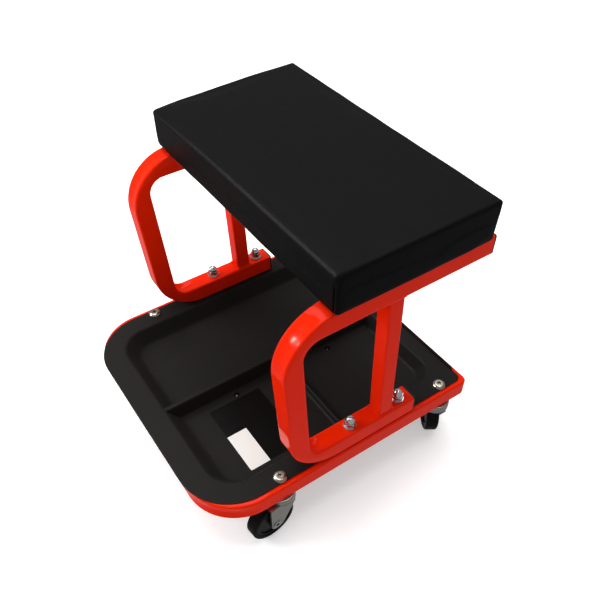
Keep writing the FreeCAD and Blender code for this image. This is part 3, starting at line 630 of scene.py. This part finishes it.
def ribProfile(r, steps):
    # Half widths and heights across a rib, from one foot to the other
    foot, top, rise = r["foot"], r["top"], r["rise"]
    flank = Vector((top - foot, rise)).normalized()
    low = Vector((foot, 0)) + flank * r["footFillet"]
    high = Vector((top, rise)) - flank * r["topFillet"]
    half = bezier((foot + r["footFillet"], 0), (foot, 0), tuple(low), steps)
    half += bezier(tuple(high), (top, rise), (top - r["topFillet"], rise), steps)
    return [(-w, h) for w, h in half] + [(w, h) for w, h in reversed(half)]


def clipped(places, axis, limit, sign):
    # The part of a convex outline on one side of a line
    kept = []
    for a, b in zip(places, places[1:] + places[:1]):
        da, db = sign * (a[axis] - limit), sign * (b[axis] - limit)
        if da >= 0:
            kept.append(a)
        if da * db < 0:
            kept.append(a.lerp(b, da / (da - db)))
    return kept


def notched(places, x, y, radius, steps, side):
    # Puts half a round hole into the side of an outline that runs through its middle
    same = 1e-6
    for k, a in enumerate(places):
        b = places[(k + 1) % len(places)]
        if abs(a.y - y) < same and abs(b.y - y) < same:
            first = 180 if b.x > a.x else 0
            sweep = -180 if side * (b.x - a.x) > 0 else 180
            arc = [math.radians(first + sweep * j / steps) for j in range(steps + 1)]
            hole = [Vector((x + radius * math.cos(t), y + radius * math.sin(t), a.z)) for t in arc]
            return places[:k + 1] + hole + places[k + 1:]
    return places


def trayLevels(c):
    # From the flange's edge in to the mouth, down the wall and on to the floor
    flange, mouth, foot, edge = c["flange"], c["mouth"], c["foot"], c["edge"]
    top, soft = flange[5], edge * c["edgeShare"]
    upper, lower = (tuple(a + (b - a) * t for a, b in zip(mouth, foot)) for t in c["straightWall"])
    levels = [grown(flange, 0, top - edge), grown(flange, -soft, top - soft)]
    levels += [grown(flange, -edge), grown(flange, -c["flangeRow"])]
    levels += [grown(mouth, c["mouthFillet"] + c["mouthRow"])]
    levels += bezier(grown(mouth, c["mouthFillet"]), mouth, upper, c["mouthSteps"])
    levels += bezier(lower, foot, grown(foot, -c["footFillet"]), c["footSteps"])
    return levels + [grown(foot, -c["footFillet"] - c["footRow"])]


def trayFloors(c, outline):
    # The floor, parted by the ribs and split through each drain, with half a hole in each part
    rib, cross = c["rib"], c["crossRib"]
    reach = rib["foot"] + rib["footFillet"]
    crossReach = cross["foot"] + cross["footFillet"]
    left = clipped(outline, 0, -reach, -1)
    right = clipped(outline, 0, reach, 1)
    floors = [clipped(right, 1, cross["middle"] + sign * crossReach, sign) for sign in (-1, 1)]
    for x, y in c["drains"]:
        held = [min(p.y for p in part) < y < max(p.y for p in part) for part in floors]
        part = floors.pop(held.index(True))
        for sign in (-1, 1):
            side = clipped(part, 1, y, sign)
            floors.append(notched(side, x, y, c["drainRadius"], c["drainSides"] // 2, sign))
    return [left, *floors]


def drainCollars(c, bm):
    # A drawn collar hangs below each drain
    radius, sides = c["drainRadius"], c["drainSides"]
    high = Vector((0, 0, c["foot"][5]))
    low = high - Vector((0, 0, c["drainDepth"]))
    turns = [math.radians((k + 0.5) * 360 / sides) for k in range(sides + 1)]
    collars = []
    for x, y in c["drains"]:
        ring = [Vector((x + radius * math.cos(t), y + radius * math.sin(t), 0)) for t in turns]
        for a, b in zip(ring, ring[1:]):
            corners = (a + low, a + high, b + high, b + low)
            collars.append(bm.faces.new([bm.verts.new(p * mm) for p in corners]))
    return collars


def trayRibs(c):
    # Rows of points along the long rib, and along the cross rib
    rib, cross, mouth, foot = c["rib"], c["crossRib"], c["mouth"], c["foot"]
    floor = foot[5]
    depth = c["flange"][5] - floor
    past, over = c["mouthFillet"], c["ribOver"]
    rows, crossRows = [], []
    for w, h in ribProfile(rib, c["ribSteps"]):
        share = h / depth
        front = foot[1] + (mouth[1] - foot[1] - past) * share - over
        rear = foot[2] + (mouth[2] - foot[2] + past) * share + over
        steps = [front + (rear - front) * k / rib["rows"] for k in range(rib["rows"] + 1)]
        rows.append([Vector((w, y, floor + h)) for y in steps])
    for w, h in ribProfile(cross, c["ribSteps"]):
        near = rib["foot"] + (rib["top"] - rib["foot"]) * h / rib["rise"] - c["ribTuck"]
        if not h:
            near = rib["foot"] + rib["footFillet"] - c["footTuck"]
        far = foot[0] + (mouth[0] - foot[0] + past) * h / depth + over
        steps = [near + (far - near) * k / cross["rows"] for k in range(cross["rows"] + 1)]
        crossRows.append([Vector((x, cross["middle"] + w, floor + h)) for x in steps])
    return rows, crossRows


def trayFace(c):
    # The upper face of the pressed sheet
    levels = trayLevels(c)
    bm = bmesh.new()
    rings = [[bm.verts.new(p * mm) for p in ringPlaces(c, level)] for level in levels]
    count = len(rings[0])
    for a, b in zip(rings, rings[1:]):
        for k in range(count):
            bm.faces.new((a[k], a[(k + 1) % count], b[(k + 1) % count], b[k]))
    floors = trayFloors(c, ringPlaces(c, levels[-1]))
    flat = [bm.faces.new([bm.verts.new(p * mm) for p in places]) for places in floors]
    collars = drainCollars(c, bm)
    for rows in trayRibs(c):
        grid = [[bm.verts.new(p * mm) for p in row] for row in rows]
        for a, b in zip(grid, grid[1:]):
            for k in range(len(a) - 1):
                bm.faces.new((a[k], a[k + 1], b[k + 1], b[k]))
    bm.normal_update()
    for face in bm.faces:
        face.smooth = face not in flat
        if face.normal.z < 0 and face not in collars:
            face.normal_flip()
    # Merged in a fixed order, so that every run gives the same mesh
    collarVerts = list(dict.fromkeys(v for face in collars for v in face.verts))
    bmesh.ops.remove_doubles(bm, verts=collarVerts, dist=c["collarWeld"] * mm)
    mesh = bpy.data.meshes.new("trayFace")
    bm.to_mesh(mesh)
    bm.free()
    return mesh


def addLip(c, bm):
    # The upright lip along the tray's rear edge, its edges broken
    lip, top, rear = c["lip"], c["flange"][5], c["flange"][2]
    high, end, corner = top + lip["height"], lip["half"], lip["corner"]
    profile = [(-end, top - lip["sunk"])]
    profile += bezier((-end, high - corner), (-end, high), (corner - end, high), lip["steps"])
    profile += bezier((end - corner, high), (end, high), (end, high - corner), lip["steps"])
    profile += [(end, top - lip["sunk"])]
    front, back = (
        [bm.verts.new(Vector((x, y, z)) * mm) for x, z in profile]
        for y in (rear - lip["thick"], rear)
    )
    made = [bm.faces.new(front), bm.faces.new(list(reversed(back)))]
    edges = [e for face in made for e in face.edges]
    for k in range(len(profile)):
        n = (k + 1) % len(profile)
        bm.faces.new((front[n], front[k], back[k], back[n]))
    width, steps = lip["bevel"] * mm, lip["bevelSteps"]
    bmesh.ops.bevel(bm, geom=edges, offset=width, segments=steps, affect="EDGES", profile=0.5)


def makeTray(c):
    bm = bmesh.new()
    bm.from_mesh(thickened(trayFace(c), "traySheet", c["sheet"], True))
    addLip(c, bm)
    mesh = bpy.data.meshes.new("pressedTray")
    bm.to_mesh(mesh)
    bm.free()
    mesh.set_sharp_from_angle(angle=math.radians(c["sharpAngle"]))
    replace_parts(newPiece("pressedTray", mesh, "trayPaint"), "tool_tray")


makeTray(tray)
print("tray pressed")

# Blank two-tone label on the tray floor (millimetres)
label = {
    "low": (20.5, -109.5),
    "high": (126.5, -34),
    "panel": (68, -82),    # the pale panel runs from here to the near corner
    "panelColour": (0.80, 0.79, 0.76),
    "floor": 79,
    "clear": 0.02,
    "thick": 0.18,
    "corner": 2,
    "cornerSteps": 6,
    "film": {
        "colour": (0.003, 0.003, 0.003), "second": (0.004, 0.004, 0.004),
        "roughness": 0.3, "specular": 0.05, "grain": 900, "relief": 0.004, "patch": 20,
    },
}


def makeLabelFinish(c):
    material = makeFinish("labelFilm", c["film"], finishRules)
    tree = material.node_tree
    shader = tree.nodes["Principled BSDF"]
    where = tree.nodes.new("ShaderNodeTexCoord")
    split = tree.nodes.new("ShaderNodeSeparateXYZ")
    tree.links.new(where.outputs["Object"], split.inputs[0])
    both = tree.nodes.new("ShaderNodeMath")
    both.operation = "MULTIPLY"
    for k, kind in enumerate(("GREATER_THAN", "LESS_THAN")):
        test = tree.nodes.new("ShaderNodeMath")
        test.operation = kind
        test.inputs[1].default_value = c["panel"][k] * mm
        tree.links.new(split.outputs["XY"[k]], test.inputs[0])
        tree.links.new(test.outputs[0], both.inputs[k])
    paint = tree.nodes.new("ShaderNodeMix")
    paint.data_type = "RGBA"
    paint.inputs["B"].default_value = (*c["panelColour"], 1)
    tree.links.new(both.outputs[0], paint.inputs["Factor"])
    tree.links.new(shader.inputs["Base Color"].links[0].from_socket, paint.inputs["A"])
    tree.links.new(paint.outputs["Result"], shader.inputs["Base Color"])
    return material


def makeLabel(c):
    bm = bmesh.new()
    (x0, y0), (x1, y1), r = c["low"], c["high"], c["corner"]
    centres = ((x1 - r, y1 - r), (x0 + r, y1 - r), (x0 + r, y0 + r), (x1 - r, y0 + r))
    outline = []
    for k, (cx, cy) in enumerate(centres):
        for step in range(c["cornerSteps"] + 1):
            angle = math.radians(90 * k + 90 * step / c["cornerSteps"])
            outline.append((cx + r * math.cos(angle), cy + r * math.sin(angle)))
    heights = (c["floor"] + c["clear"], c["floor"] + c["thick"])
    rings = [[bm.verts.new(Vector((x, y, z)) * mm) for x, y in outline] for z in heights]
    for k in range(len(outline)):
        n = (k + 1) % len(outline)
        bm.faces.new((rings[0][k], rings[0][n], rings[1][n], rings[1][k]))
    bm.faces.new(rings[1])
    bm.faces.new(list(reversed(rings[0])))
    mesh = finishMesh(bm, "trayLabel", smooth=False, weld=0)
    mesh.materials.append(makeLabelFinish(c))
    newPiece("trayLabel", mesh, "plugPlastic")


makeLabel(label)
print("blank label laid")

# Weld beads round the feet and tops of the struts (millimetres)
weld = {
    "pitch": 2.1,
    "bead": 1.5,
    "strut": 20,
    "middle": 166,
    "loops": ((43.5, 126.5), (38, 316)),    # front edge of the strut, height of the seam
    "sizes": (0.8, 1.1),                    # smallest and largest bead, as shares
    "roundness": 3,
    "seed": 4,
}


def weldTree(c, material):
    tree = bpy.data.node_groups.new("weldBeads", "GeometryNodeTree")
    face = tree.interface
    face.new_socket("Geometry", in_out="INPUT", socket_type="NodeSocketGeometry")
    face.new_socket("Pitch", in_out="INPUT", socket_type="NodeSocketFloat")
    face.new_socket("Bead Radius", in_out="INPUT", socket_type="NodeSocketFloat")
    face.new_socket("Seed", in_out="INPUT", socket_type="NodeSocketInt")
    face.new_socket("Geometry", in_out="OUTPUT", socket_type="NodeSocketGeometry")
    add, link = tree.nodes.new, tree.links.new
    given = add("NodeGroupInput")
    path = add("GeometryNodeMeshToCurve")
    spaced = add("GeometryNodeResampleCurve")
    spaced.mode = "LENGTH"
    bead = add("GeometryNodeMeshIcoSphere")
    bead.inputs["Subdivisions"].default_value = c["roundness"]
    smooth = add("GeometryNodeSetShadeSmooth")
    vary = add("FunctionNodeRandomValue")
    vary.data_type = "FLOAT"
    vary.inputs["Min"].default_value, vary.inputs["Max"].default_value = c["sizes"]
    place = add("GeometryNodeInstanceOnPoints")
    real = add("GeometryNodeRealizeInstances")
    finish = add("GeometryNodeSetMaterial")
    finish.inputs["Material"].default_value = material
    result = add("NodeGroupOutput")
    link(given.outputs["Geometry"], path.inputs["Mesh"])
    link(path.outputs["Curve"], spaced.inputs["Curve"])
    link(given.outputs["Pitch"], spaced.inputs["Length"])
    link(given.outputs["Bead Radius"], bead.inputs["Radius"])
    link(given.outputs["Seed"], vary.inputs["Seed"])
    link(bead.outputs["Mesh"], smooth.inputs["Geometry"])
    link(spaced.outputs["Curve"], place.inputs["Points"])
    link(smooth.outputs["Geometry"], place.inputs["Instance"])
    link(next(o for o in vary.outputs if o.name == "Value" and o.enabled), place.inputs["Scale"])
    link(place.outputs["Instances"], real.inputs["Geometry"])
    link(real.outputs["Geometry"], finish.inputs["Geometry"])
    link(finish.outputs["Geometry"], result.inputs["Geometry"])
    return tree


def makeWelds(c):
    paths = bpy.data.meshes.new("weldPaths")
    points, edges = [], []
    half = c["strut"] / 2
    for sign in (-1, 1):
        for front, height in c["loops"]:
            first = len(points)
            left, right = sign * c["middle"] - half, sign * c["middle"] + half
            rear = front + c["strut"]
            for x, y in ((left, front), (right, front), (right, rear), (left, rear)):
                points.append(Vector((x, y, height)) * mm)
            edges += [(first + k, first + (k + 1) % 4) for k in range(4)]
    paths.from_pydata(points, edges, [])
    holder = bpy.data.objects.new("weldPaths", paths)
    scene.collection.objects.link(holder)
    tree = weldTree(c, materials["redPaint"])
    beads = holder.modifiers.new("beads", "NODES")
    beads.node_group = tree
    given = [item for item in tree.interface.items_tree if item.in_out == "INPUT"]
    sockets = {item.name: item.identifier for item in given}
    beads[sockets["Pitch"]] = c["pitch"] * mm
    beads[sockets["Bead Radius"]] = c["bead"] * mm
    beads[sockets["Seed"]] = c["seed"]
    mesh = evaluated(holder, "strutWelds")
    holder.modifiers.clear()
    bpy.data.objects.remove(holder)
    newPiece("strutWelds", mesh, "redPaint")


makeWelds(weld)
print("strut welds laid")

# Seat: a firm cushion pulled tight over its board, with folds at its corners (millimetres)
cushion = {
    "halfWidth": 185,
    "front": -36.5,
    "rear": 165.5,
    "low": 341.3,
    "high": 392.5,
    "edge": 3.6,
    "frontEdge": 7,
    "frontFrom": 0.6,      # the front's larger rounding starts at this share of the half depth
    "lowEdge": 6,
    "lowTo": 0.5,          # the lower rounding starts at this share of the half height, downward
    "crown": 0.9,
    "rearLift": 1.2,       # the left end stands this much higher at the rear
    "frontDroop": 4.8,     # and has sunk this much at the front
    "shrink": 0.6,
    "sag": 0.2,            # how far the underside may hang below its height
    "wave": 0.45,
    "waveLength": 38,
    "voxel": 4,
    "pressure": 4,
    "frames": 20,
    "stapled": 1.5,        # height of the band that the staples hold
    "cap": 0.9,
    "opening": (145, 74),
    "under": 4,            # height of the band in which the underside is opened
    "skin": 0.9,
    "slitInset": 6,
    "slitDepth": 3.4,
    "slitWidth": 0.75,
    "slitTop": 13,
    "slitRows": (-2.4, -1.2, -0.6, 0, 0.6, 1.2, 2.4),
    "slitSpan": (8, 12),   # faces this near a fold, across and inward, are divided for it
    "slitReach": 4,
    "slitBand": 7,         # how deep into the seat a fold is felt
    "slitFade": (7, 3),    # over which it fades out upward and inward
}


def held(value, low, high):
    return max(low, min(high, value))


def cushionBox(c):
    # Half sizes and centre of the cushion's form before it is crowned
    s = c["shrink"]
    tall = c["high"] - c["low"] - s - c["crown"]
    half = Vector((c["halfWidth"] - s, (c["rear"] - c["front"]) / 2 - s, tall / 2))
    return half, Vector((0, (c["front"] + c["rear"]) / 2, c["low"] + half.z))


def cushionForm(c, place):
    # The nearest point on the cushion's firm form, and the way out from it
    half, centre = cushionBox(c)
    p = place / mm - centre
    forward = held((-p.y / half.y - c["frontFrom"]) / (1 - c["frontFrom"]), 0, 1)
    upper = c["edge"] + (c["frontEdge"] - c["edge"]) * forward
    share = held(p.z / half.z + c["lowTo"], 0, 1)
    edge = c["lowEdge"] + (upper - c["lowEdge"]) * share
    core = Vector([max(edge - h, min(h - edge, v)) for v, h in zip(p, half)])
    out = p - core
    if out.length < 1e-6:
        out = Vector((0, 0, 1 if p.z > 0 else -1))
    out.normalize()
    at = core + out * edge
    if out.z > 0:
        across, along = at.x / half.x, at.y / half.y
        at.z += c["crown"] * out.z * (1 - across ** 2) * (1 - along ** 2)
        # The left end has sunk at the front and stands a little high at the rear
        lift, droop = c["rearLift"], c["frontDroop"]
        tilt = (lift + droop) / 2 * along + (lift - droop) / 2 * along ** 2
        at.z += tilt * max(0, -across) ** 2 * out.z
    return (at + centre) * mm, out


def cushionStart(c):
    # A box the size of the form, ready to be divided and drawn onto it
    half, centre = cushionBox(c)
    bm = bmesh.new()
    bmesh.ops.create_cube(bm, size=2)
    for v in bm.verts:
        v.co = (Vector([a * b for a, b in zip(v.co, half)]) + centre) * mm
    return finishMesh(bm, "cushion")


def voxelMesh(mesh, size):
    obj = bpy.data.objects.new("cushionVoxels", mesh)
    scene.collection.objects.link(obj)
    remesh = obj.modifiers.new("voxels", "REMESH")
    remesh.mode = "VOXEL"
    remesh.voxel_size = size * mm
    fine = evaluated(obj, "cushion")
    bpy.data.objects.remove(obj)
    return fine


def inflated(mesh, c):
    # The cover swells a little under pressure, held where it is stapled to the board
    obj = bpy.data.objects.new("cushionSwelling", mesh)
    scene.collection.objects.link(obj)
    start = [v.co.copy() for v in mesh.vertices]
    stapled = [v.index for v in mesh.vertices if v.co.z < (c["low"] + c["stapled"]) * mm]
    obj.vertex_groups.new(name="stapled").add(stapled, 1, "REPLACE")
    cloth = obj.modifiers.new("cover", "CLOTH")
    cloth.settings.vertex_group_mass = "stapled"
    cloth.settings.use_pressure = True
    cloth.settings.uniform_pressure_force = c["pressure"]
    cloth.settings.effector_weights.gravity = 0
    cloth.point_cache.frame_start = 1
    cloth.point_cache.frame_end = c["frames"]
    for frameNumber in range(1, c["frames"] + 1):
        scene.frame_set(frameNumber)
    swollen = evaluated(obj, "cushion")
    bpy.data.objects.remove(obj)
    scene.frame_set(1)
    for v, before in zip(swollen.vertices, start):
        move = v.co - before
        if move.length > c["cap"] * mm:
            v.co = before + move.normalized() * c["cap"] * mm
    return swollen


def cutAcross(bm, at, axis, part):
    # A new row of edges where a plane crosses the chosen faces
    verts = dict.fromkeys(v for face in part for v in face.verts)
    edges = dict.fromkeys(e for face in part for e in face.edges)
    normal = Vector((1, 0, 0)) if axis == 0 else Vector((0, 1, 0))
    geom = [*verts, *edges, *part]
    bmesh.ops.bisect_plane(bm, geom=geom, plane_co=normal * at * mm, plane_no=normal, dist=1e-7)


def cushionSurface(c):
    mesh = voxelMesh(cushionStart(c), c["voxel"])
    for v in mesh.vertices:
        v.co = cushionForm(c, v.co)[0]
    mesh = inflated(mesh, c)
    obj = bpy.data.objects.new("cushionSmooth", mesh)
    scene.collection.objects.link(obj)
    obj.modifiers.new("smooth", "SUBSURF").levels = 1
    mesh = evaluated(obj, "cushion")
    bpy.data.objects.remove(obj)
    # The swelling stays, but edges are drawn back out to the firm form, with slight waves
    for v in mesh.vertices:
        at, out = cushionForm(c, v.co)
        swell = max(0, (v.co - at).dot(out) / mm)
        swell += c["wave"] * noise.noise(v.co / mm / c["waveLength"])
        v.co = at + out * swell * mm
    return mesh


def foldCorners(c, bm, middleY, halfDepth):
    # Narrow upright grooves in the long faces, beside each corner
    inset = c["halfWidth"] - c["slitInset"]
    across, inward = c["slitSpan"]
    for x in (-inset, inset):
        for shift in c["slitRows"]:
            part = []
            for face in bm.faces:
                middle = face.calc_center_median() / mm
                if abs(middle.x - x) < across and abs(middle.y - middleY) > halfDepth - inward:
                    part.append(face)
            cutAcross(bm, x + shift, 0, part)
    top = c["high"] - c["slitTop"]
    upward, inward = c["slitFade"]
    for v in bm.verts:
        x, y, z = v.co / mm
        away = abs(abs(x) - inset)
        depth = abs(y - middleY) - (halfDepth - c["slitBand"])
        if away > c["slitReach"] or depth < 0:
            continue
        fade = held((top - z) / upward, 0, 1) * min(1, depth / inward)
        groove = c["slitDepth"] * math.exp(-(away / c["slitWidth"]) ** 2) * fade
        v.co.y -= math.copysign(groove, y - middleY) * mm


def openUnderside(c, bm, middleY):
    # Underneath, the cover stops short and shows the board
    wide, deep = c["opening"]
    low = c["low"] + c["under"]
    for axis, at in ((0, -wide), (0, wide), (1, middleY - deep), (1, middleY + deep)):
        part = [face for face in bm.faces if face.calc_center_median().z < low * mm]
        cutAcross(bm, at, axis, part)
    inside = []
    for face in bm.faces:
        x, y, z = face.calc_center_median() / mm
        if z < low and abs(x) < wide and abs(y - middleY) < deep:
            inside.append(face)
    bmesh.ops.delete(bm, geom=inside, context="FACES")


def makeCushion(c):
    bm = bmesh.new()
    bm.from_mesh(cushionSurface(c))
    middleY = (c["front"] + c["rear"]) / 2
    foldCorners(c, bm, middleY, (c["rear"] - c["front"]) / 2)
    openUnderside(c, bm, middleY)
    # Nothing stands past the space the seat holds
    for v in bm.verts:
        v.co.x = held(v.co.x, -c["halfWidth"] * mm, c["halfWidth"] * mm)
        v.co.y = held(v.co.y, c["front"] * mm, c["rear"] * mm)
        v.co.z = held(v.co.z, (c["low"] - c["sag"]) * mm, c["high"] * mm)
    mesh = thickened(finishMesh(bm, "cushion", weld=0.00001), "seatCushion", c["skin"], False)
    seat = newPiece("seatCushion", mesh, "seatVinyl")
    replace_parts(seat, "seat_cover", "seat_foam")


makeCushion(cushion)
print("seat cushion filled")
